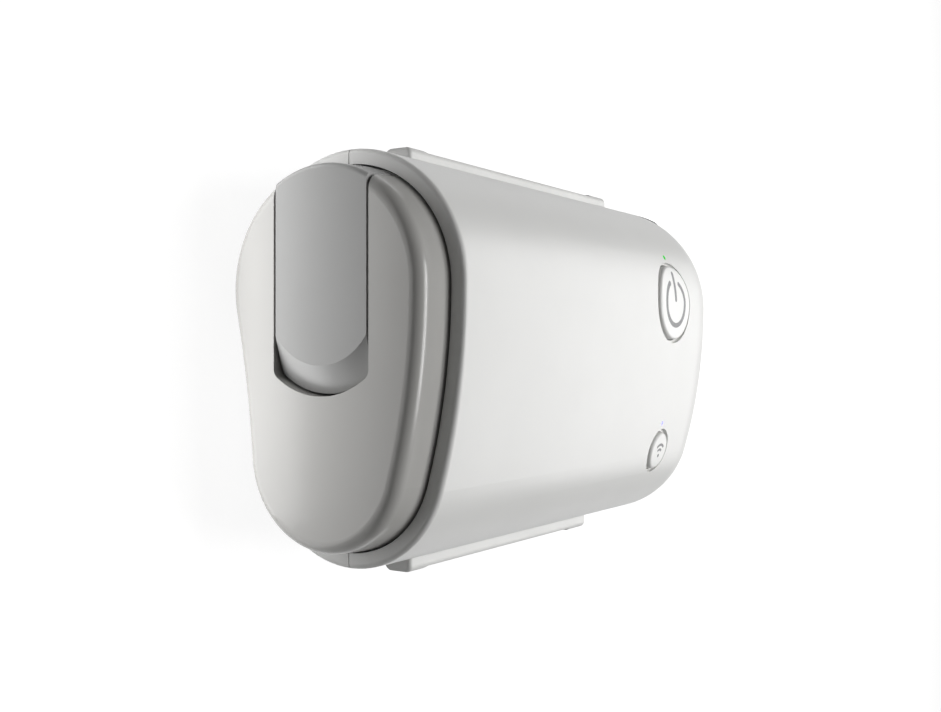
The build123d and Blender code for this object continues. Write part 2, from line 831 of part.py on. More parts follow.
for button_name, place in button_places.items():
    with BuildPart() as plunger:
        add(posts_form([place], plunger_radius, switch_top - plunger_sunk, plunger_top))
    save(plunger, f"{button_name}_switch_plunger")

for light_name, y in (("power", power_light_y), ("wireless", wireless_light_y)):
    with BuildPart() as light_guide:
        add(posts_form([(light_x, y)], light_radius, board_top, overall_width) & skin_form(0))
        body = posts_form([(light_x, y)], light_body_radius, board_top, overall_width)
        add(body & skin_form(button_depth + button_travel + led_gap))
        add(band_form(0, board_top + led_height + led_gap), mode=Mode.SUBTRACT)
    save(light_guide, f"{light_name}_light_guide")

# ---- board and what it carries ----
with BuildPart() as main_board:
    with BuildSketch(Plane.XY.offset(board_z)):
        with Locations(((board_x0 + board_x1) / 2, (board_y0 + board_y1) / 2)):
            RectangleRounded(board_x1 - board_x0, board_y1 - board_y0, board_corner)
        with Locations(board_screw_places):
            Circle(screw_clearance_hole, mode=Mode.SUBTRACT)
    extrude(amount=board_thickness)
save(main_board, "main_board")

with BuildPart() as board_screws:
    add(posts_form(board_screw_places, screw_radius, board_z, board_tip_z - rib_fit))
    add(posts_form(board_screw_places, screw_head_radius, board_z - screw_head_height, board_z))
save(board_screws, "board_screws")

with BuildPart() as board_chips:
    for along, y, length, width in chip_sizes:
        with Locations((board_x0 + along, y, board_top + chip_height / 2)):
            Box(length, width, chip_height)
save(board_chips, "board_chips")

with BuildPart() as status_leds:
    for x, y in light_places:
        with Locations((x, y, board_top + led_height / 2)):
            Box(led_length, led_width, led_height)
save(status_leds, "status_leds")

with BuildPart() as wireless_module:
    with Locations((board_x0 + radio_along, radio_y, board_top + radio_height / 2)):
        Box(radio_length, radio_width, radio_height)
    fillet(wireless_module.edges().filter_by(Axis.Z), led_height)
save(wireless_module, "wireless_module")

with BuildPart() as capacitors:
    capacitor_places = [(board_x0 + along, capacitor_y) for along in capacitor_along]
    add(posts_form(capacitor_places, capacitor_radius, board_z - capacitor_height, board_z))
    fillet(capacitors.faces().group_by(Axis.Z)[0].edges(), capacitor_edge)
save(capacitors, "capacitors")

with BuildPart() as flow_sensor:
    sensor_x = board_x0 + sensor_along
    with Locations((sensor_x, sensor_y, board_z - sensor_height / 2)):
        Box(sensor_length, sensor_width, sensor_height)
    ports = [(sensor_x + side * sensor_port_spacing / 2, sensor_y) for side in (-1, 1)]
    port_low = board_z - sensor_height - sensor_port_length
    add(posts_form(ports, sensor_port_radius, port_low, board_z - sensor_height))
save(flow_sensor, "flow_sensor")

# ---- blower ----
with BuildPart() as inlet_bell:
    with BuildSketch(Plane(origin=(0, blower_y, blower_z), x_dir=(1, 0, 0), z_dir=(0, -1, 0))):
        with BuildLine():
            flare_start = (bell_front_x, inlet_radius + bell_flare)
            flare_end = (blower_front_x + blower_wall, inlet_radius)
            Spline(flare_start, flare_end, tangents=[(1, -2), (1, 0)])
            Polyline(
                flare_end,
                (blower_front_x + blower_wall, blower_radius),
                (blower_front_x, blower_radius),
                (blower_front_x, inlet_radius + bell_wall),
                (bell_front_x, inlet_radius + bell_flare + bell_wall),
                flare_start,
            )
        make_face()
    revolve(axis=Axis((0, blower_y, blower_z), (1, 0, 0)))
save(inlet_bell, "inlet_bell")

shell_x0 = blower_front_x + blower_wall
with BuildPart() as blower_housing:
    add(
        turned_form(
            [
                (shell_x0, blower_radius),
                (blower_shoulder_x, blower_radius),
                (blower_end_x, spigot_radius),
                (spigot_end_x, spigot_radius),
                (spigot_end_x, spigot_radius - blower_wall),
                (blower_end_x - blower_wall / 2, spigot_radius - blower_wall),
                (blower_shoulder_x - blower_wall / 2, blower_radius - blower_wall),
                (shell_x0, blower_radius - blower_wall),
            ],
            blower_y,
            blower_z,
        )
    )
    vane_inner = cup_radius + running_clearance
    vane_outer = blower_radius - blower_wall / 2
    with BuildSketch(round_plane(vane_x0, blower_y, blower_z)):
        with PolarLocations((vane_inner + vane_outer) / 2, vane_count):
            Rectangle(vane_outer - vane_inner, vane_thickness)
    extrude(amount=vane_x1 - vane_x0)
    cup_room = round_plane(cup_front_x, blower_y, blower_z)
    add(tube_form(cup_room, vane_inner, 0, cup_end_x - cup_front_x), mode=Mode.SUBTRACT)
save(blower_housing, "blower_housing")

cup_inner = cup_radius - cup_wall - running_clearance
seat_radius = bearing_radius + running_clearance
with BuildPart() as motor_cup:
    front_seat_x = bearing_x[0] - running_clearance
    add(
        turned_form(
            [
                (cup_front_x, cup_shaft_hole),
                (cup_front_x, cup_radius),
                (cup_end_x, cup_radius),
                (cup_end_x, cup_inner),
                (cup_front_x + cup_wall, cup_inner),
                (cup_front_x + cup_wall, seat_radius + bearing_seat),
                (bearing_x[0] + bearing_width, seat_radius + bearing_seat),
                (bearing_x[0] + bearing_width, seat_radius),
                (front_seat_x, seat_radius),
                (front_seat_x, cup_shaft_hole),
            ],
            blower_y,
            blower_z,
        )
    )
save(motor_cup, "motor_cup")

with BuildPart() as motor_cap:
    rear_seat_x = bearing_x[1] + bearing_width + running_clearance
    shaft_well_x = shaft_end_x + shaft_end_play
    add(
        turned_form(
            [
                (bearing_x[1], seat_radius),
                (bearing_x[1], seat_radius + bearing_seat),
                (rear_seat_x, seat_radius + bearing_seat),
                (rear_seat_x, cup_inner - running_clearance),
                (cup_end_x, cup_inner - running_clearance),
                (cup_end_x, cup_radius),
                (cup_end_x + cup_wall, cup_radius),
                (tail_end_x, tail_radius),
                (tail_end_x, 0),
                (shaft_well_x, 0),
                (shaft_well_x, cup_shaft_hole),
                (rear_seat_x, cup_shaft_hole),
                (rear_seat_x, seat_radius),
            ],
            blower_y,
            blower_z,
        )
    )
save(motor_cap, "motor_cap")

with BuildPart() as stator_core:
    with BuildSketch(round_plane(stator_x0, blower_y, blower_z)):
        Circle(stator_radius)
        Circle(stator_radius - stator_back, mode=Mode.SUBTRACT)
        tooth_length = stator_radius - stator_back / 2 - stator_bore
        with PolarLocations(stator_bore + tooth_length / 2, tooth_count):
            Rectangle(tooth_length, tooth_width)
    extrude(amount=stator_x1 - stator_x0)
save(stator_core, "stator_core")

with BuildPart() as stator_windings:
    coil_x0 = stator_x0 - coil_overhang
    coil_width = tooth_width + 2 * coil_thickness
    coil_reach = stator_radius - stator_back - running_clearance
    coil_outer_radius = sqrt(coil_reach**2 - (coil_width / 2) ** 2)
    coil_middle = (coil_inner_radius + coil_outer_radius) / 2
    with BuildSketch(round_plane(coil_x0, blower_y, blower_z)):
        with PolarLocations(coil_middle, tooth_count):
            Rectangle(coil_outer_radius - coil_inner_radius, coil_width)
    extrude(amount=stator_x1 - stator_x0 + 2 * coil_overhang)
    with BuildSketch(round_plane(stator_x0 - running_clearance, blower_y, blower_z)):
        with PolarLocations(coil_middle, tooth_count):
            Rectangle(stator_radius, tooth_width + 2 * running_clearance)
    extrude(amount=stator_x1 - stator_x0 + 2 * running_clearance, mode=Mode.SUBTRACT)
save(stator_windings, "stator_windings")

with BuildPart() as shaft_bearings:
    for x in bearing_x:
        bearing = round_plane(x, blower_y, blower_z)
        add(tube_form(bearing, bearing_radius, shaft_radius + running_clearance, bearing_width))
save(shaft_bearings, "shaft_bearings")

with BuildPart() as motor_shaft:
    shaft = round_plane(shaft_front_x, blower_y, blower_z)
    add(tube_form(shaft, shaft_radius, 0, shaft_end_x - shaft_front_x))
save(motor_shaft, "motor_shaft")

with BuildPart() as rotor_magnet:
    magnet = round_plane(magnet_x0, blower_y, blower_z)
    add(tube_form(magnet, magnet_radius, shaft_radius + press_gap, magnet_x1 - magnet_x0))
save(rotor_magnet, "rotor_magnet")


def blade_form():
    """The impeller's blades, leaning back, before they are trimmed to its outline."""
    start = (blade_inner_radius, 0)
    lean = radians(-blade_sweep)
    end = (impeller_radius * cos(lean), impeller_radius * sin(lean))
    middle_radius = (blade_inner_radius + impeller_radius) / 2
    middle = (middle_radius * cos(lean / 3), middle_radius * sin(lean / 3))
    with BuildSketch() as blade:
        with BuildLine():
            ThreePointArc(start, middle, end)
        trace(line_width=blade_thickness)
    with BuildPart() as form:
        with BuildSketch(round_plane(impeller_front_x, blower_y, blower_z)):
            with PolarLocations(0, blade_count):
                add(blade.sketch)
        extrude(amount=impeller_x + impeller_plate / 2 - impeller_front_x)
    return form.part


with BuildPart() as impeller:
    add(blade_form())
    passage = [
        (impeller_front_x, 0),
        (impeller_front_x, impeller_eye),
        (impeller_tip_x, impeller_radius),
        (impeller_x + impeller_plate, impeller_radius),
        (impeller_x + impeller_plate, 0),
    ]
    add(turned_form(passage, blower_y, blower_z), mode=Mode.INTERSECT)
    back_plate = [
        (impeller_front_x, shaft_radius + press_gap),
        (impeller_front_x, hub_radius),
        (impeller_x, hub_foot_radius),
        (impeller_x, impeller_radius),
        (impeller_x + impeller_plate, impeller_radius),
        (impeller_x + impeller_plate, shaft_radius + press_gap),
    ]
    add(turned_form(back_plate, blower_y, blower_z))
    shroud = [
        (impeller_front_x, impeller_eye - impeller_shroud),
        (impeller_front_x, impeller_eye),
        (impeller_tip_x, impeller_radius),
        (impeller_tip_x + impeller_shroud, impeller_radius),
    ]
    add(turned_form(shroud, blower_y, blower_z))
save(impeller, "impeller")

with BuildPart() as blower_mounts:
    for x in mount_x:
        mount = round_plane(x - mount_width / 2, blower_y, blower_z)
        add(tube_form(mount, mount_radius, blower_radius + press_gap, mount_width))
save(blower_mounts, "blower_mounts")

# ---- air path ----
with BuildPart() as muffler_foam:
    foam_x0 = x_lip + foam_gap
    add(lobed_form(wall + foam_gap, foam_x0, foam_x1))
    bore = round_plane(foam_x0, blower_y, blower_z)
    add(tube_form(bore, foam_bore, 0, foam_x1 - foam_x0), mode=Mode.SUBTRACT)
    notches = posts_form(case_screw_places, case_boss_radius + foam_gap, 0, overall_width)
    add(notches, mode=Mode.SUBTRACT)
save(muffler_foam, "muffler_foam")

nozzle_end_x = collar_back_x - nozzle_length
with BuildPart() as outlet_collar:
    add(
        turned_form(
            [
                (x_outlet, outlet_bore + collar_edge),
                (x_outlet, flange_radius - collar_edge),
                (x_outlet - collar_edge, flange_radius),
                (collar_seat_x, flange_radius),
                (collar_seat_x, collar_radius),
                (collar_back_x, collar_radius),
                (collar_back_x, nozzle_radius),
                (nozzle_end_x, nozzle_radius),
                (nozzle_end_x, duct_bore),
                (seal_x - seal_length, duct_bore),
                (seal_x - seal_length, outlet_bore + seal_thickness + running_clearance),
                (seal_x, outlet_bore + seal_thickness + running_clearance),
                (seal_x, outlet_bore),
                (x_outlet - collar_edge, outlet_bore),
            ],
            outlet_y,
            outlet_z,
        )
    )
save(outlet_collar, "outlet_collar")

with BuildPart() as outlet_seal:
    seal_front = seal_x - running_clearance
    seal_back = seal_x - seal_length + running_clearance
    add(
        turned_form(
            [
                (seal_back, outlet_bore + seal_thickness),
                (seal_front, outlet_bore + seal_thickness),
                (seal_front, outlet_bore - seal_lip / 2),
                ((seal_front + seal_back) / 2, outlet_bore - seal_lip),
                (seal_back, outlet_bore - seal_lip / 2),
            ],
            outlet_y,
            outlet_z,
        )
    )
save(outlet_seal, "outlet_seal")


def duct_solid(spigot_r, nozzle_r):
    """Straight cuff on the spigot, bend, straight cuff on the nozzle."""
    bend_start = spigot_end_x
    with BuildPart() as form:
        cuff = round_plane(bend_start - duct_overlap, blower_y, blower_z)
        add(tube_form(cuff, spigot_r, 0, duct_overlap))
        with BuildSketch(round_plane(bend_start, blower_y, blower_z)):
            Circle(spigot_r)
        with BuildSketch(round_plane(nozzle_end_x, outlet_y, outlet_z)):
            Circle(nozzle_r)
        loft()
        far_cuff = round_plane(nozzle_end_x, outlet_y, outlet_z)
        add(tube_form(far_cuff, nozzle_r, 0, duct_overlap))
    return form.part


with BuildPart() as outlet_duct:
    add(duct_solid(spigot_radius + duct_wall, nozzle_radius + duct_wall))
    fit = running_clearance
    add(duct_solid(spigot_radius + fit, nozzle_radius + fit), mode=Mode.SUBTRACT)
save(outlet_duct, "outlet_duct")

# ---- DC inlet ----
with BuildPart() as dc_inlet:
    add(dc_bezel & housing_form(-dc_proud, x_rim))
    half = dc_body_half
    y_range = (dc_axis_y - half, dc_axis_y + half)
    z_range = (dc_axis_z - half, dc_axis_z + half)
    add(block_form((dc_body_x, dc_face_x), y_range, z_range))
    with BuildSketch(round_plane(dc_face_x, dc_axis_y, dc_axis_z)):
        RectangleRounded(2 * dc_pocket_half_y, 2 * dc_pocket_half_z, dc_pocket_corner)
    extrude(amount=x_outlet - dc_face_x, mode=Mode.SUBTRACT)
    socket = round_plane(dc_bore_x, dc_axis_y, dc_axis_z)
    add(tube_form(socket, dc_bore, 0, dc_face_x - dc_bore_x), mode=Mode.SUBTRACT)
    pin_hole = round_plane(dc_body_x, dc_axis_y, dc_axis_z)
    add(tube_form(pin_hole, dc_pin_radius + press_gap, 0, dc_bore_x - dc_body_x), mode=Mode.SUBTRACT)
save(dc_inlet, "dc_inlet")

with BuildPart() as dc_contacts:
    pin = round_plane(dc_tab_x, dc_axis_y, dc_axis_z)
    add(tube_form(pin, dc_pin_radius, 0, dc_face_x - dc_pin_sunk - dc_tab_x))
    fillet(dc_contacts.faces().sort_by(Axis.X)[-1].edges(), dc_pin_radius / 2)
    tab = (dc_axis_y + dc_tab_size, dc_axis_y + 2 * dc_tab_size)
    tab_z = (dc_axis_z - dc_tab_size / 2, dc_axis_z + dc_tab_size / 2)
    add(block_form((dc_tab_x, dc_body_x), tab, tab_z))
save(dc_contacts, "dc_contacts")
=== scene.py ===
import bpy
import bmesh
from math import cos, pi, radians, sin
from mathutils import Matrix, Vector, noise
from mathutils.bvhtree import BVHTree


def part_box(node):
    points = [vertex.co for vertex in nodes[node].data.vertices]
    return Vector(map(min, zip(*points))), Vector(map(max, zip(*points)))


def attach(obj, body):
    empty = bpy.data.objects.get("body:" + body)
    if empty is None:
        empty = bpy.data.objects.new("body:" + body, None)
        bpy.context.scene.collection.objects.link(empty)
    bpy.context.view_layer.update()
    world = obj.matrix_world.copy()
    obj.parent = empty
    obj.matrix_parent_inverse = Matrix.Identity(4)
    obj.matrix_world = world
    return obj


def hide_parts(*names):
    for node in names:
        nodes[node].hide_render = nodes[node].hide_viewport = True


# A compact travel CPAP machine, lying flat with its buttons up. In metres, +X towards the air outlet.

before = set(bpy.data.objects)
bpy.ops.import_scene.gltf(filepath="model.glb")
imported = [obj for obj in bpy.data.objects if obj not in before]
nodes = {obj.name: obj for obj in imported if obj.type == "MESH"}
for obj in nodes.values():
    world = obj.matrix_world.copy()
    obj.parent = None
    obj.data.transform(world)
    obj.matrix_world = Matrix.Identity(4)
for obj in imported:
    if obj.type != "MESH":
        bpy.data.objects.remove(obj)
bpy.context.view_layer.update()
mm = 0.001
touching = 0.001 * mm  # points nearer than this are in one place
print("frame loaded:", len(nodes), "CAD nodes")


def linearColour(hexCode):  # sRGB hex to linear RGBA
    channels = [int(hexCode[i:i + 2], 16) / 255 for i in (0, 2, 4)]
    return [c / 12.92 if c <= 0.04045 else ((c + 0.055) / 1.055) ** 2.4 for c in channels] + [1.0]


def addNode(tree, kind, settings, links):  # one node, with its settings and what feeds its inputs
    node = tree.nodes.new(kind)
    for name, value in settings.items():
        if name == "stops":  # of a colour ramp: place and hex of each
            for element, (place, hexCode) in zip(node.color_ramp.elements, value):
                element.position = place
                element.color = linearColour(hexCode)
        elif name in node.inputs:
            node.inputs[name].default_value = value
        else:
            setattr(node, name, value)
    for name, source in links.items():
        tree.links.new(source, node.inputs[name])
    return node


def perMetre(sizeMm):  # texture scale of a pattern that repeats at this size
    return 1 / (sizeMm * mm)


def startMaterial(name):
    material = bpy.data.materials.new(name)
    material.use_nodes = True
    tree = material.node_tree
    tree.nodes.clear()
    place = addNode(tree, "ShaderNodeTexCoord", {}, {}).outputs["Object"]
    return material, tree, place


def finishMaterial(material, tree, settings, links):
    surface = addNode(tree, "ShaderNodeBsdfPrincipled", settings, links)
    addNode(tree, "ShaderNodeOutputMaterial", {}, {"Surface": surface.outputs["BSDF"]})
    return material


# Injection-moulded thermoplastic: the eye sees one even colour that drifts by a hair over a finger's width,
# the fine spark-eroded grain of the mould, drawn 0.2 to 0.5 mm coarse so that it shows, and gloss that follows it.
mouldedLooks = {
    "shellAbs": {  # white ABS of the housing, semi-gloss
        "colours": ("ebebe9", "e9e9e7"), "roughness": (0.34, 0.4), "grainMm": 0.45, "grainHeightMm": 0.003,
    },
    "capAbs": {  # warm grey ABS of the end cap, satin
        "colours": ("bebdba", "bbbab7"), "roughness": (0.21, 0.26), "grainMm": 0.4, "grainHeightMm": 0.002,
    },
    "coverAbs": {  # a shade darker, for the filter cover
        "colours": ("a4a4a3", "a1a1a0"), "roughness": (0.3, 0.36), "grainMm": 0.4, "grainHeightMm": 0.003,
    },
    "railAbs": {  # white ABS of the docking rails, duller than the housing
        "colours": ("e9e9e7", "e3e3e1"), "roughness": (0.42, 0.5), "grainMm": 0.4, "grainHeightMm": 0.005,
    },
    "buttonAbs": {  # white ABS of the buttons, polished
        "colours": ("eeeeec", "e9e9e7"), "roughness": (0.28, 0.34), "grainMm": 0.5, "grainHeightMm": 0.002,
    },
    "collarPolycarbonate": {  # light grey polycarbonate of the outlet collar
        "colours": ("c9c9c7", "c3c3c1"), "roughness": (0.28, 0.36), "grainMm": 0.5, "grainHeightMm": 0.003,
    },
    "blowerPbt": {  # natural cream PBT of the blower's casing
        "colours": ("dedad0", "d4cfc3"), "roughness": (0.42, 0.52), "grainMm": 0.5, "grainHeightMm": 0.01,
    },
    "impellerNylon": {  # black glass-filled nylon, dulled by its fibres
        "colours": ("2b2c2f", "3a3b3f"), "roughness": (0.45, 0.62), "grainMm": 0.3, "grainHeightMm": 0.014,
    },
    "inletPbt": {  # dark grey PBT of the DC inlet
        "colours": ("4a4a4c", "434345"), "roughness": (0.4, 0.5), "grainMm": 0.35, "grainHeightMm": 0.01,
    },
    "switchNylon": {  # black nylon of the switches and their plungers
        "colours": ("303134", "28292b"), "roughness": (0.45, 0.55), "grainMm": 0.3, "grainHeightMm": 0.008,
    },
    "chipEpoxy": {  # black moulding compound with a sandy, matte face
        "colours": ("26272a", "303134"), "roughness": (0.55, 0.68), "grainMm": 0.2, "grainHeightMm": 0.012,
    },
}
driftMm = 18


def mouldedPlastic(name, look):
    material, tree, place = startMaterial(name)
    first, second = look["colours"]
    low, high = look["roughness"]
    drift = addNode(tree, "ShaderNodeTexNoise", {"Scale": perMetre(driftMm)}, {"Vector": place}).outputs["Fac"]
    size = {"Scale": perMetre(look["grainMm"]), "Detail": 4.0}
    grain = addNode(tree, "ShaderNodeTexNoise", size, {"Vector": place}).outputs["Fac"]
    colour = addNode(tree, "ShaderNodeValToRGB", {"stops": [(0.35, first), (0.65, second)]}, {"Fac": drift})
    gloss = {"From Min": 0.3, "From Max": 0.7, "To Min": low, "To Max": high}
    roughness = addNode(tree, "ShaderNodeMapRange", gloss, {"Value": grain})
    relief = addNode(tree, "ShaderNodeBump", {"Distance": look["grainHeightMm"] * mm}, {"Height": grain})
    return finishMaterial(material, tree, {"IOR": 1.53}, {
        "Base Color": colour.outputs["Color"],
        "Roughness": roughness.outputs["Result"],
        "Normal": relief.outputs["Normal"],
    })


# Clear moulded resin with a lamp behind it: the colour glows evenly and swirls a little.
clearLooks = {
    "greenGuide": {"colours": ("17c52c", "33d345"), "glow": 0.55, "ior": 1.58},  # polycarbonate, lamp on
    "blueGuide": {"colours": ("383fd6", "4f56e2"), "glow": 0.55, "ior": 1.58},
    "lampEpoxy": {"colours": ("e9e4c8", "f6f3e2"), "glow": 0.1, "ior": 1.54},  # the LEDs themselves
}
clearBody = {"swirlMm": 0.6, "roughness": (0.12, 0.2), "coat": 0.4}


def clearResin(name, look):
    material, tree, place = startMaterial(name)
    first, second = look["colours"]
    low, high = clearBody["roughness"]
    size = {"Scale": perMetre(clearBody["swirlMm"])}
    swirl = addNode(tree, "ShaderNodeTexNoise", size, {"Vector": place}).outputs["Fac"]
    tint = addNode(tree, "ShaderNodeValToRGB", {"stops": [(0.35, first), (0.65, second)]}, {"Fac": swirl})
    gloss = {"From Min": 0.3, "From Max": 0.7, "To Min": low, "To Max": high}
    roughness = addNode(tree, "ShaderNodeMapRange", gloss, {"Value": swirl})
    settings = {"IOR": look["ior"], "Emission Strength": look["glow"], "Coat Weight": clearBody["coat"]}
    return finishMaterial(material, tree, settings, {
        "Base Color": tint.outputs["Color"],
        "Emission Color": tint.outputs["Color"],
        "Roughness": roughness.outputs["Result"],
    })


# Silicone and rubber: matte, soft highlights, and a pale bloom in patches. Pad-printing ink is kin to them:
# a thin matte film that isn't quite even.
softLooks = {
    "darkSilicone": {"colours": ("2b2b2c", "353536"), "roughness": (0.6, 0.75), "patchMm": 4, "sheen": 0.15},
    "greySilicone": {"colours": ("999a9a", "a5a6a6"), "roughness": (0.5, 0.65), "patchMm": 5, "sheen": 0.15},
    "footRubber": {"colours": ("8a8a89", "959594"), "roughness": (0.65, 0.8), "patchMm": 2, "sheen": 0.2},
    "greyInk": {"colours": ("8d8d8e", "989899"), "roughness": (0.42, 0.55), "patchMm": 0.6, "sheen": 0.0},
}
rubberSkin = {"grainMm": 0.3, "heightMm": 0.01}


def softRubber(name, look):
    material, tree, place = startMaterial(name)
    first, second = look["colours"]
    low, high = look["roughness"]
    size = {"Scale": perMetre(look["patchMm"]), "Detail": 4.0}
    bloom = addNode(tree, "ShaderNodeTexNoise", size, {"Vector": place}).outputs["Fac"]
    size = {"Scale": perMetre(rubberSkin["grainMm"]), "Detail": 3.0}
    skin = addNode(tree, "ShaderNodeTexNoise", size, {"Vector": place}).outputs["Fac"]
    colour = addNode(tree, "ShaderNodeValToRGB", {"stops": [(0.35, first), (0.65, second)]}, {"Fac": bloom})
    gloss = {"From Min": 0.3, "From Max": 0.7, "To Min": low, "To Max": high}
    roughness = addNode(tree, "ShaderNodeMapRange", gloss, {"Value": skin})
    relief = addNode(tree, "ShaderNodeBump", {"Distance": rubberSkin["heightMm"] * mm}, {"Height": skin})
    settings = {"IOR": 1.42, "Sheen Weight": look["sheen"], "Sheen Roughness": 0.5}
    return finishMaterial(material, tree, settings, {
        "Base Color": colour.outputs["Color"],
        "Roughness": roughness.outputs["Result"],
        "Normal": relief.outputs["Normal"],
    })


# Needled polyester felt: fine crossing fibres in three layers, with painted shade in the darker depths between them,
# and a soft sheen.
feltLook = {
    "fibre": "eceae3", "depth": "c2bfb4", "fibreMm": 0.28, "stretch": 0.12, "turns": (0.4, 1.5, 2.6), "heightMm": 0.12,
}


def needledFelt(name, look):
    material, tree, place = startMaterial(name)
    highest = None
    for turn in look["turns"]:  # each layer's fibres run across the last one's
        layout = {"Rotation": (turn, 0, 0), "Scale": (1, 1, look["stretch"])}
        along = addNode(tree, "ShaderNodeMapping", layout, {"Vector": place}).outputs["Vector"]
        size = {"Scale": perMetre(look["fibreMm"]), "Detail": 5.0}
        layer = addNode(tree, "ShaderNodeTexNoise", size, {"Vector": along}).outputs["Fac"]
        if highest is None:
            highest = layer
        else:
            highest = addNode(tree, "ShaderNodeMath", {"operation": "MAXIMUM"}, {0: highest, 1: layer}).outputs[0]
    # The lowest places between the fibres get the darker colour: painted shade.
    stops = [(0.45, look["depth"]), (0.68, look["fibre"])]
    colour = addNode(tree, "ShaderNodeValToRGB", {"stops": stops}, {"Fac": highest})
    gloss = {"From Min": 0.3, "From Max": 0.7, "To Min": 0.95, "To Max": 0.8}
    roughness = addNode(tree, "ShaderNodeMapRange", gloss, {"Value": highest})
    relief = addNode(tree, "ShaderNodeBump", {"Distance": look["heightMm"] * mm}, {"Height": highest})
    settings = {"IOR": 1.45, "Sheen Weight": 0.4, "Sheen Roughness": 0.6}
    return finishMaterial(material, tree, settings, {
        "Base Color": colour.outputs["Color"],
        "Roughness": roughness.outputs["Result"],
        "Normal": relief.outputs["Normal"],
    })


# Reticulated polyurethane foam: 0.9 mm cells, light struts round pores that are painted dark as shade.
foamLook = {"strut": "5c5d61", "shadedPore": "1e1f22", "cellMm": 0.9, "depthMm": 0.4}


def openCellFoam(name, look):
    material, tree, place = startMaterial(name)
    cells = addNode(tree, "ShaderNodeTexVoronoi", {"Scale": perMetre(look["cellMm"])}, {"Vector": place})
    away = cells.outputs["Distance"]  # from the middle of the nearest cell
    # The middle of each cell is painted dark: shade in the open pore.
    stops = [(0.2, look["shadedPore"]), (0.55, look["strut"])]
    colour = addNode(tree, "ShaderNodeValToRGB", {"stops": stops}, {"Fac": away})
    gloss = {"From Min": 0.1, "From Max": 0.6, "To Min": 0.98, "To Max": 0.8}
    roughness = addNode(tree, "ShaderNodeMapRange", gloss, {"Value": away})
    relief = addNode(tree, "ShaderNodeBump", {"Distance": look["depthMm"] * mm}, {"Height": away})
    return finishMaterial(material, tree, {"IOR": 1.4, "Sheen Weight": 0.1}, {
        "Base Color": colour.outputs["Color"],
        "Roughness": roughness.outputs["Result"],
        "Normal": relief.outputs["Normal"],
    })


# Machined metal: tool marks run round the blower's axis, on the sides and on the faces, under a slight haze.
# Laminations are 0.5 mm thick. The other marks are drawn 0.15 to 0.3 mm apart, coarse enough to show.
waveLength = 2 * pi / 20  # of a Wave Texture at a scale of 1
turnedMarks = {"heightMm": 0.006, "waver": 0.3, "hazeMm": 3}
turnedLooks = {
    "turnedAluminium": {"colours": ("c6c8ca", "b4b6b8"), "roughness": (0.24, 0.36), "pitchMm": 0.25},
    "laminatedSteel": {"colours": ("8f9092", "77787b"), "roughness": (0.4, 0.55), "pitchMm": 0.5},
    "groundSteel": {"colours": ("cfd1d3", "c2c4c7"), "roughness": (0.14, 0.22), "pitchMm": 0.15},
    "nickelPlate": {"colours": ("b9b6ae", "a9a69e"), "roughness": (0.2, 0.3), "pitchMm": 0.3},
}


def turnedMetal(name, look):
    material, tree, place = startMaterial(name)
    first, second = look["colours"]
    low, high = look["roughness"]
    shaftLow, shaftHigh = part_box("motor_shaft")
    onAxis = {"Location": -(shaftLow + shaftHigh) / 2}
    centred = addNode(tree, "ShaderNodeMapping", onAxis, {"Vector": place}).outputs["Vector"]
    size = {"Scale": perMetre(look["pitchMm"]) * waveLength, "Distortion": turnedMarks["waver"]}
    bands = {"bands_direction": "X", **size}
    rings = {"wave_type": "RINGS", "rings_direction": "X", **size}
    sideMarks = addNode(tree, "ShaderNodeTexWave", bands, {"Vector": centred}).outputs["Fac"]
    faceMarks = addNode(tree, "ShaderNodeTexWave", rings, {"Vector": centred}).outputs["Fac"]
    marks = addNode(tree, "ShaderNodeMath", {"operation": "ADD"}, {0: sideMarks, 1: faceMarks}).outputs[0]
    spread = {"Scale": perMetre(turnedMarks["hazeMm"]), "Detail": 3.0}
    haze = addNode(tree, "ShaderNodeTexNoise", spread, {"Vector": place}).outputs["Fac"]
    colour = addNode(tree, "ShaderNodeValToRGB", {"stops": [(0.35, first), (0.65, second)]}, {"Fac": haze})
    gloss = {"From Min": 0.3, "From Max": 0.7, "To Min": low, "To Max": high}
    roughness = addNode(tree, "ShaderNodeMapRange", gloss, {"Value": haze})
    relief = addNode(tree, "ShaderNodeBump", {"Distance": turnedMarks["heightMm"] * mm}, {"Height": marks})
    return finishMaterial(material, tree, {"Metallic": 1.0}, {
        "Base Color": colour.outputs["Color"],
        "Roughness": roughness.outputs["Result"],
        "Normal": relief.outputs["Normal"],
    })


# Plated metal: bright, with a mottle as fine as the plating's crystals, drawn 0.8 mm coarse.
platedLooks = {
    "zincPlate": {"colours": ("b8babd", "a6a8ab"), "roughness": (0.28, 0.42)},
    "tinPlate": {"colours": ("c3c5c8", "b3b5b8"), "roughness": (0.22, 0.34)},
    "goldPlate": {"colours": ("d9bd74", "cbae63"), "roughness": (0.18, 0.28)},
}
platingMottle = {"grainMm": 0.8, "heightMm": 0.005}


def platedMetal(name, look):
    material, tree, place = startMaterial(name)
    first, second = look["colours"]
    low, high = look["roughness"]
    size = {"Scale": perMetre(platingMottle["grainMm"]), "Detail": 5.0}
    mottle = addNode(tree, "ShaderNodeTexNoise", size, {"Vector": place}).outputs["Fac"]
    colour = addNode(tree, "ShaderNodeValToRGB", {"stops": [(0.35, first), (0.65, second)]}, {"Fac": mottle})
    gloss = {"From Min": 0.3, "From Max": 0.7, "To Min": low, "To Max": high}
    roughness = addNode(tree, "ShaderNodeMapRange", gloss, {"Value": mottle})
    relief = addNode(tree, "ShaderNodeBump", {"Distance": platingMottle["heightMm"] * mm}, {"Height": mottle})
    return finishMaterial(material, tree, {"Metallic": 1.0}, {
        "Base Color": colour.outputs["Color"],
        "Roughness": roughness.outputs["Result"],
        "Normal": relief.outputs["Normal"],
    })
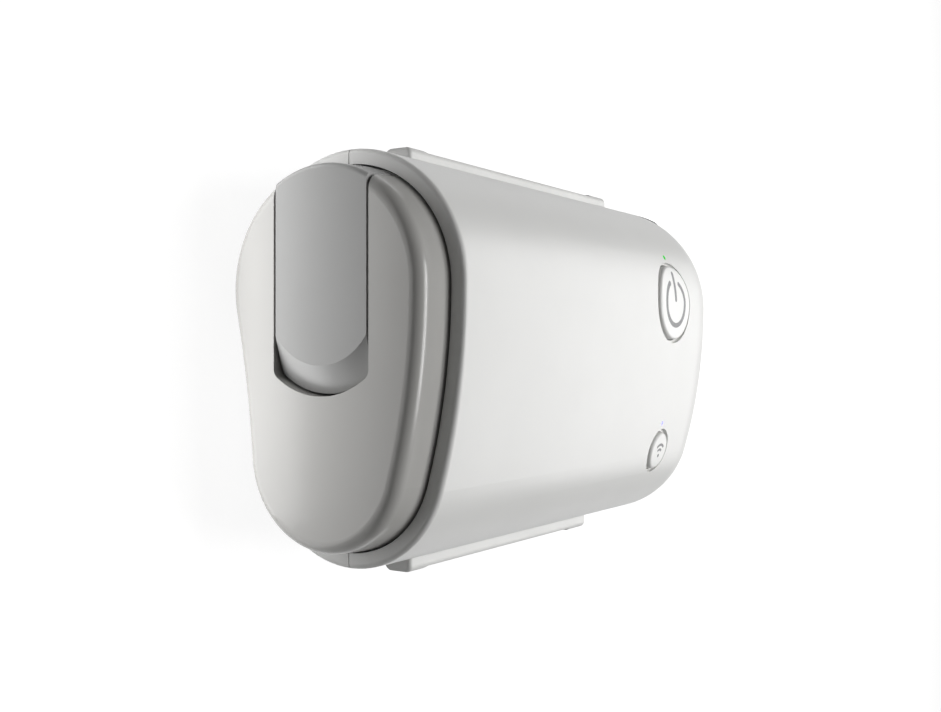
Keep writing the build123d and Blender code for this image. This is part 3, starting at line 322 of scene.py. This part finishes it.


# Enamelled copper wire, wound in turns 0.5 mm apart: copper-coloured crests, painted shade in the grooves between
# turns, a clear lacquer over all.
windingLook = {"wire": "b8683a", "shadedGroove": "4f2615", "pitchMm": 0.5, "waver": 0.6, "heightMm": 0.12}


def enamelledCopper(name, look):
    material, tree, place = startMaterial(name)
    scale = perMetre(look["pitchMm"]) * waveLength
    size = {"bands_direction": "X", "Scale": scale, "Distortion": look["waver"]}
    turns = addNode(tree, "ShaderNodeTexWave", size, {"Vector": place}).outputs["Fac"]
    # The grooves between turns are painted dark as shade.
    stops = [(0.1, look["shadedGroove"]), (0.5, look["wire"])]
    colour = addNode(tree, "ShaderNodeValToRGB", {"stops": stops}, {"Fac": turns})
    roughness = addNode(tree, "ShaderNodeMapRange", {"To Min": 0.45, "To Max": 0.25}, {"Value": turns})
    relief = addNode(tree, "ShaderNodeBump", {"Distance": look["heightMm"] * mm}, {"Height": turns})
    return finishMaterial(material, tree, {"Metallic": 0.85, "Coat Weight": 0.6}, {
        "Base Color": colour.outputs["Color"],
        "Roughness": roughness.outputs["Result"],
        "Normal": relief.outputs["Normal"],
    })


# Glass-epoxy board: green solder mask, with copper tracks that show through it as lighter, raised lines.
boardLook = {"mask": "1c5a3a", "track": "2f7a52", "fieldMm": 2.4, "trackHeightMm": 0.02}


def solderMask(name, look):
    material, tree, place = startMaterial(name)
    fields = {"feature": "DISTANCE_TO_EDGE", "Scale": perMetre(look["fieldMm"])}
    edge = addNode(tree, "ShaderNodeTexVoronoi", fields, {"Vector": place}).outputs["Distance"]
    stops = [(0.04, look["track"]), (0.08, look["mask"])]
    colour = addNode(tree, "ShaderNodeValToRGB", {"stops": stops}, {"Fac": edge})
    gloss = {"From Max": 0.2, "To Min": 0.3, "To Max": 0.38}
    roughness = addNode(tree, "ShaderNodeMapRange", gloss, {"Value": edge})
    height = addNode(tree, "ShaderNodeRGBToBW", {}, {"Color": colour.outputs["Color"]}).outputs["Val"]
    relief = addNode(tree, "ShaderNodeBump", {"Distance": look["trackHeightMm"] * mm}, {"Height": height})
    return finishMaterial(material, tree, {"IOR": 1.55, "Coat Weight": 0.3}, {
        "Base Color": colour.outputs["Color"],
        "Roughness": roughness.outputs["Result"],
        "Normal": relief.outputs["Normal"],
    })


# Heat-shrunk PVC sleeve of the capacitors: glossy, drawn into faint folds, with painted shade a little darker in their
# hollows.
sleeveLook = {"colours": ("232a3c", "2c3448"), "foldMm": 2.5, "foldHeightMm": 0.05}


def shrinkSleeve(name, look):
    material, tree, place = startMaterial(name)
    first, second = look["colours"]
    size = {"Scale": perMetre(look["foldMm"])}
    folds = addNode(tree, "ShaderNodeTexNoise", size, {"Vector": place}).outputs["Fac"]
    # The hollows of the folds take the darker colour: painted shade.
    colour = addNode(tree, "ShaderNodeValToRGB", {"stops": [(0.35, first), (0.65, second)]}, {"Fac": folds})
    roughness = addNode(tree, "ShaderNodeMapRange", {"To Min": 0.2, "To Max": 0.34}, {"Value": folds})
    relief = addNode(tree, "ShaderNodeBump", {"Distance": look["foldHeightMm"] * mm}, {"Height": folds})
    return finishMaterial(material, tree, {"IOR": 1.53, "Coat Weight": 0.2}, {
        "Base Color": colour.outputs["Color"],
        "Roughness": roughness.outputs["Result"],
        "Normal": relief.outputs["Normal"],
    })


materials = {}
for make, looks in (
    (mouldedPlastic, mouldedLooks),
    (clearResin, clearLooks),
    (softRubber, softLooks),
    (needledFelt, {"filterFelt": feltLook}),
    (openCellFoam, {"greyFoam": foamLook}),
    (turnedMetal, turnedLooks),
    (platedMetal, platedLooks),
    (enamelledCopper, {"enamelledCopper": windingLook}),
    (solderMask, {"solderMask": boardLook}),
    (shrinkSleeve, {"shrinkSleeve": sleeveLook}),
):
    for name, look in looks.items():
        materials[name] = make(name, look)

finishes = {  # what each CAD node is made of
    "shellAbs": ["top_shell", "bottom_shell"],
    "capAbs": ["end_cap"],
    "coverAbs": ["filter_cover"],
    "railAbs": ["side_rail_left", "side_rail_right"],
    "buttonAbs": ["power_button", "wireless_button"],
    "collarPolycarbonate": ["outlet_collar"],
    "blowerPbt": ["blower_housing", "inlet_bell"],
    "impellerNylon": ["impeller"],
    "inletPbt": ["dc_inlet"],
    "switchNylon": ["tact_switches", "power_switch_plunger", "wireless_switch_plunger"],
    "chipEpoxy": ["board_chips", "flow_sensor"],
    "greenGuide": ["power_light_guide"],
    "blueGuide": ["wireless_light_guide"],
    "lampEpoxy": ["status_leds"],
    "darkSilicone": ["cap_gasket", "outlet_seal"],
    "greySilicone": ["blower_mounts", "outlet_duct"],
    "footRubber": ["feet"],
    "filterFelt": ["air_filter"],
    "greyFoam": ["muffler_foam"],
    "turnedAluminium": ["motor_cup", "motor_cap"],
    "laminatedSteel": ["stator_core"],
    "enamelledCopper": ["stator_windings"],
    "nickelPlate": ["rotor_magnet"],
    "groundSteel": ["motor_shaft", "shaft_bearings"],
    "zincPlate": ["case_screws", "board_screws"],
    "tinPlate": ["wireless_module"],
    "solderMask": ["main_board"],
    "shrinkSleeve": ["capacitors"],
    "goldPlate": ["dc_contacts"],
}
for materialName, nodeNames in finishes.items():
    for nodeName in nodeNames:
        nodes[nodeName].data.materials.clear()
        nodes[nodeName].data.materials.append(materials[materialName])
print("materials made:", len(materials))


def finishPiece(name, bm, materialName, body):
    mesh = bpy.data.meshes.new(name)
    bm.to_mesh(mesh)
    bm.free()
    mesh.materials.append(materials[materialName])
    piece = bpy.data.objects.new(name, mesh)
    bpy.context.scene.collection.objects.link(piece)
    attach(piece, body)
    return piece


# The signs on the buttons: flat lines of one width with rounded ends, printed on the crowned tops.
powerSign = {
    "shift": (0.0, -0.1), "ringRadius": 5.4, "gapDegrees": 46, "barFrom": 0.3, "barTo": 7.7, "lineWidth": 1.15,
}
radioSign = {
    "shift": (0.1, -1.3), "dotRadius": 0.45, "arcRadii": (1.5, 2.7), "arcDegrees": 84, "lineWidth": 0.6,
}
signSteps = 40
endRounding = 0.45  # of a line's width, just short of the half at which its corners would meet
inkProud = 0.015 * mm
inkSunk = 0.08 * mm


def addArc(bm, radius, width, start, turn):  # a flat arc about the origin, anticlockwise from start
    out = Vector((cos(start), sin(start), 0))
    ends = [bm.verts.new(out * (radius + side * width / 2)) for side in (-1, 1)]
    line = bm.edges.new(ends)
    turned = bmesh.ops.spin(bm, geom=ends + [line], axis=(0, 0, 1), cent=(0, 0, 0), angle=turn, steps=signSteps)
    ends += [v for v in turned["geom_last"] if isinstance(v, bmesh.types.BMVert)]
    roundEnds(bm, ends, width)


def addBar(bm, low, high, width):  # a flat bar along Y
    place = Matrix.Translation((0, (low + high) / 2, 0)) @ Matrix.Diagonal((width / 2, (high - low) / 2, 1, 1))
    made = bmesh.ops.create_grid(bm, x_segments=1, y_segments=8, size=1, matrix=place)
    ends = [v for v in made["verts"] if len(v.link_edges) == 2]
    roundEnds(bm, ends, width)


def roundEnds(bm, corners, width):
    bmesh.ops.bevel(
        bm, geom=corners, offset=width * endRounding, affect="VERTICES", segments=5, profile=0.5, material=-1
    )


def printOn(bm, nodeName, shift):  # lays flat lines on a button's top and gives them their thickness
    low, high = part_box(nodeName)
    middle = (low + high) / 2
    under = bmesh.new()
    under.from_mesh(nodes[nodeName].data)
    top = BVHTree.FromBMesh(under)
    under.free()
    bmesh.ops.translate(bm, verts=bm.verts, vec=(middle.x + shift[0] * mm, middle.y + shift[1] * mm, 0))
    for v in bm.verts:
        hit = top.ray_cast(Vector((v.co.x, v.co.y, high.z + mm)), Vector((0, 0, -1)))[0]
        v.co.z = hit.z - inkSunk
    raised = bmesh.ops.extrude_face_region(bm, geom=list(bm.faces), use_keep_orig=True)["geom"]
    upper = [g for g in raised if isinstance(g, bmesh.types.BMVert)]
    bmesh.ops.translate(bm, verts=upper, vec=(0, 0, inkSunk + inkProud))
    bmesh.ops.recalc_face_normals(bm, faces=bm.faces)


def makePowerSign():  # an open ring with a bar in its gap
    sign = powerSign
    bm = bmesh.new()
    gap = radians(sign["gapDegrees"])
    addArc(bm, sign["ringRadius"] * mm, sign["lineWidth"] * mm, pi / 2 + gap / 2, 2 * pi - gap)
    addBar(bm, sign["barFrom"] * mm, sign["barTo"] * mm, sign["lineWidth"] * mm)
    printOn(bm, "power_button", sign["shift"])
    finishPiece("powerSign", bm, "greyInk", "power_button")


def makeRadioSign():  # a dot under two arcs
    sign = radioSign
    bm = bmesh.new()
    bmesh.ops.create_circle(bm, cap_ends=True, segments=24, radius=sign["dotRadius"] * mm)
    turn = radians(sign["arcDegrees"])
    for radius in sign["arcRadii"]:
        addArc(bm, radius * mm, sign["lineWidth"] * mm, pi / 2 - turn / 2, turn)
    printOn(bm, "wireless_button", sign["shift"])
    finishPiece("radioSign", bm, "greyInk", "wireless_button")


makePowerSign()
makeRadioSign()
print("signs made")


def solidsOf(nodeName):  # lowest and highest corner of each separate solid in a node
    bm = bmesh.new()
    bm.from_mesh(nodes[nodeName].data)
    bmesh.ops.remove_doubles(bm, verts=bm.verts, dist=touching)
    waiting, boxes = set(bm.verts), []
    while waiting:
        reached, island = [waiting.pop()], []
        while reached:
            v = reached.pop()
            island.append(v.co.copy())
            near = [e.other_vert(v) for e in v.link_edges]
            fresh = [n for n in near if n in waiting]
            waiting.difference_update(fresh)
            reached += fresh
        low = Vector([min(c[axis] for c in island) for axis in range(3)])
        high = Vector([max(c[axis] for c in island) for axis in range(3)])
        boxes.append((low, high))
    bm.free()
    return boxes


# Pan-head thread-forming screws with a hexagon socket. They point up, head below.
screwLook = {
    "headHeight": 1.3, "headEdge": 0.35, "socketRadius": 0.95, "socketDepth": 0.8, "core": 0.78, "pitch": 0.8,
    "shank": 0.95, "point": 0.9, "ridgeSunk": 0.05, "sides": 32, "threadSteps": 14,
}
ridgeShare = 0.3  # of the pitch, from the middle of the thread's ridge to its edge


def addScrew(bm, low, high, look):
    headRadius = (high.x - low.x) / 2
    length = high.z - low.z
    foot = Vector(((low.x + high.x) / 2, (low.y + high.y) / 2, low.z))
    size = {key: value * mm for key, value in look.items()}
    rim = headRadius - size["headEdge"]
    outline = [
        (rim, 0), (headRadius - size["headEdge"] / 3, size["headEdge"] / 4), (headRadius, size["headEdge"]),
        (headRadius, size["headHeight"]), (size["core"], size["headHeight"]),
        (size["core"], length - size["point"]), (size["core"] / 4, length),
    ]
    profile = [bm.verts.new(foot + Vector((radius, 0, height))) for radius, height in outline]
    lines = [bm.edges.new(pair) for pair in zip(profile, profile[1:])]
    turned = {"cent": foot, "axis": (0, 0, 1), "angle": 2 * pi, "steps": look["sides"], "use_merge": True}
    bmesh.ops.spin(bm, geom=profile + lines, **turned)
    made = bmesh.ops.create_circle(
        bm, segments=6, radius=size["socketRadius"], matrix=Matrix.Translation(foot)
    )["verts"]
    hexagon = list({e for v in made for e in v.link_edges})
    ring = [e for e in bm.edges if e.is_boundary and all(
        abs((v.co - foot).length - rim) < touching and abs(v.co.z - foot.z) < touching for v in e.verts
    )]
    bmesh.ops.bridge_loops(bm, edges=ring + hexagon)
    deeper = bmesh.ops.extrude_edge_only(bm, edges=hexagon)["geom"]
    floor = [g for g in deeper if isinstance(g, bmesh.types.BMVert)]
    bmesh.ops.translate(bm, verts=floor, vec=(0, 0, size["socketDepth"]))
    bmesh.ops.contextual_create(bm, geom=[e for e in deeper if isinstance(e, bmesh.types.BMEdge)])
    tip = [e for e in bm.edges if e.is_boundary and all(
        abs(v.co.z - foot.z - length) < touching and (v.co - foot).xy.length < headRadius for v in e.verts
    )]
    bmesh.ops.contextual_create(bm, geom=tip)
    addThread(bm, foot, length, size, look["threadSteps"])


def addThread(bm, foot, length, size, steps):  # a ridge wound round the core
    start = size["headHeight"] + size["pitch"]
    turns = int((length - size["point"] - start) / size["pitch"])
    inner, half = size["core"] - size["ridgeSunk"], size["pitch"] * ridgeShare
    corners = [(inner, -half), (size["shank"], 0), (inner, half)]
    ridge = [bm.verts.new(foot + Vector((radius, 0, start + height))) for radius, height in corners]
    lines = [bm.edges.new((ridge[i - 1], ridge[i])) for i in range(3)]
    bm.faces.new(ridge)
    climb = Vector((0, 0, size["pitch"] / steps))
    turned = bmesh.ops.spin(
        bm, geom=ridge + lines, cent=foot, axis=(0, 0, 1), dvec=climb, angle=2 * pi * turns, steps=steps * turns
    )
    bm.faces.new([v for v in turned["geom_last"] if isinstance(v, bmesh.types.BMVert)])


def makeScrews(name, nodeName):
    bm = bmesh.new()
    for low, high in solidsOf(nodeName):
        addScrew(bm, low, high, screwLook)
    bmesh.ops.recalc_face_normals(bm, faces=bm.faces)
    piece = finishPiece(name, bm, "zincPlate", "case")
    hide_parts(nodeName)


makeScrews("caseScrews", "case_screws")
makeScrews("boardScrews", "board_screws")
print("screws made")


# The filter pad and the silencer foam: cut from soft stock, so their edges are rounded and their faces uneven.
filterPad = {"node": "air_filter", "voxelMm": 0.3, "smooth": 3, "waveMm": 3.0, "heightMm": 0.12, "inMm": 0.14}
silencerFoam = {"node": "muffler_foam", "voxelMm": 0.9, "smooth": 2, "waveMm": 4.0, "heightMm": 0.3, "inMm": 0.35}


def makeSoft(name, look, materialName, body):
    source = bpy.data.objects.new(name + "Source", nodes[look["node"]].data.copy())
    bpy.context.scene.collection.objects.link(source)
    remesh = source.modifiers.new("remesh", "REMESH")
    remesh.mode = "VOXEL"
    remesh.voxel_size = look["voxelMm"] * mm
    graph = bpy.context.evaluated_depsgraph_get()
    bm = bmesh.new()
    bm.from_mesh(bpy.data.meshes.new_from_object(source.evaluated_get(graph)))
    bpy.data.objects.remove(source)
    for _ in range(look["smooth"]):
        bmesh.ops.smooth_vert(bm, verts=bm.verts, factor=0.5, use_axis_x=True, use_axis_y=True, use_axis_z=True)
    bm.normal_update()
    for v in bm.verts:
        wave = noise.noise(v.co / (look["waveMm"] * mm))
        v.co += v.normal * mm * (look["heightMm"] * wave - look["inMm"])
    for face in bm.faces:
        face.smooth = True
    piece = finishPiece(name, bm, materialName, body)
    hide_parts(look["node"])


makeSoft("filterPad", filterPad, "filterFelt", "filter_cover")
makeSoft("silencerFoam", silencerFoam, "greyFoam", "case")
print("pad and foam made")


# A plain pale floor. To the camera, to gloss and through glass it is white, and it still takes a faint shadow.
floorLook = {"halfWidth": 6.0, "paint": "909090", "glow": "f4f4f4"}


def makeFloor():
    bm = bmesh.new()
    bmesh.ops.create_grid(bm, x_segments=1, y_segments=1, size=floorLook["halfWidth"])
    mesh = bpy.data.meshes.new("floor")
    bm.to_mesh(mesh)
    bm.free()
    floor = bpy.data.objects.new("floor", mesh)
    bpy.context.scene.collection.objects.link(floor)
    material, tree, _ = startMaterial("paleFloor")
    ray = addNode(tree, "ShaderNodeLightPath", {}, {}).outputs
    seen = ray["Is Camera Ray"]
    for kind in ("Is Glossy Ray", "Is Transmission Ray"):
        seen = addNode(tree, "ShaderNodeMath", {"operation": "MAXIMUM"}, {0: seen, 1: ray[kind]}).outputs[0]
    paint = addNode(tree, "ShaderNodeBsdfDiffuse", {"Color": linearColour(floorLook["paint"])}, {})
    glow = addNode(tree, "ShaderNodeEmission", {"Color": linearColour(floorLook["glow"])}, {"Strength": seen})
    both = addNode(tree, "ShaderNodeAddShader", {}, {0: paint.outputs["BSDF"], 1: glow.outputs["Emission"]})
    addNode(tree, "ShaderNodeOutputMaterial", {}, {"Surface": both.outputs["Shader"]})
    mesh.materials.append(material)


makeFloor()

# Studio light: a soft lamp overhead, a narrow key lamp that draws a thin highlight along the cap's edge, a wide lamp
# behind the far end, and two low strips in front of the cap. The size is across Y, then along the beam's upward side.
# A dim even surround fills the rest.
lamps = {
    "overhead": {"from": (0.08, 0.0, 0.6), "to": (0.0, 0.0, 0.03), "size": (0.4, 0.2), "watts": 1.6},
    "key": {"from": (0.2, 0.0, 0.58), "to": (0.01, 0.0, 0.04), "size": (0.4, 0.03), "watts": 0.95},
    "behind": {"from": (0.53, 0.0, 0.29), "to": (0.01, 0.0, 0.04), "size": (0.6, 0.2), "watts": 1.2},
    "nearStrip": {"from": (-0.081, 0.016, 0.0015), "to": (-0.0811, 0.016, 0.5), "size": (0.1, 0.02), "watts": 0.0163},
    "farStrip": {"from": (-0.1, 0.02, 0.002), "to": (-0.1001, 0.02, 0.5), "size": (0.16, 0.05), "watts": 0.0258},
}
surround = 0.05


def makeLamp(name, look):
    light = bpy.data.lights.new(name, "AREA")
    light.shape = "RECTANGLE"
    light.size, light.size_y = look["size"]
    light.energy = look["watts"]
    lamp = bpy.data.objects.new(name, light)
    lamp.location = look["from"]
    aim = Vector(look["to"]) - Vector(look["from"])
    lamp.rotation_euler = aim.to_track_quat("-Z", "Y").to_euler()
    lamp.visible_camera = False
    bpy.context.scene.collection.objects.link(lamp)


for name, look in lamps.items():
    makeLamp(name, look)

world = bpy.data.worlds.new("surround")
world.use_nodes = True
world.node_tree.nodes.clear()
ray = addNode(world.node_tree, "ShaderNodeLightPath", {}, {}).outputs
level = {"To Min": surround, "To Max": 1.0}
strength = addNode(world.node_tree, "ShaderNodeMapRange", level, {"Value": ray["Is Camera Ray"]}).outputs["Result"]
sky = addNode(world.node_tree, "ShaderNodeBackground", {"Color": linearColour("ffffff")}, {"Strength": strength})
addNode(world.node_tree, "ShaderNodeOutputWorld", {}, {"Surface": sky.outputs["Background"]})
bpy.context.scene.world = world

# The camera looks at the cap from a third of the way up, rolled so that the thick side is at the top.
cameraPlace = {
    "location": (-0.22386, 0.0, 0.16008), "tilt": 33, "lens": 43.15, "shift": 0.0038, "sensor": 36, "nearest": 0.01,
}
tilt = radians(cameraPlace["tilt"])
rightward, upward, backward = (sin(tilt), 0, cos(tilt)), (0, 1, 0), (-cos(tilt), 0, sin(tilt))
cameraData = bpy.data.cameras.new("camera")
cameraData.lens = cameraPlace["lens"]
cameraData.sensor_width = cameraPlace["sensor"]
cameraData.shift_y = cameraPlace["shift"]
cameraData.clip_start = cameraPlace["nearest"]
camera = bpy.data.objects.new("camera", cameraData)
camera.matrix_world = Matrix.Translation(cameraPlace["location"]) @ Matrix(
    (rightward, upward, backward)
).transposed().to_4x4()
bpy.context.scene.collection.objects.link(camera)
bpy.context.scene.camera = camera
bpy.context.scene.view_settings.view_transform = "Standard"
print("stage, lamps and camera ready")
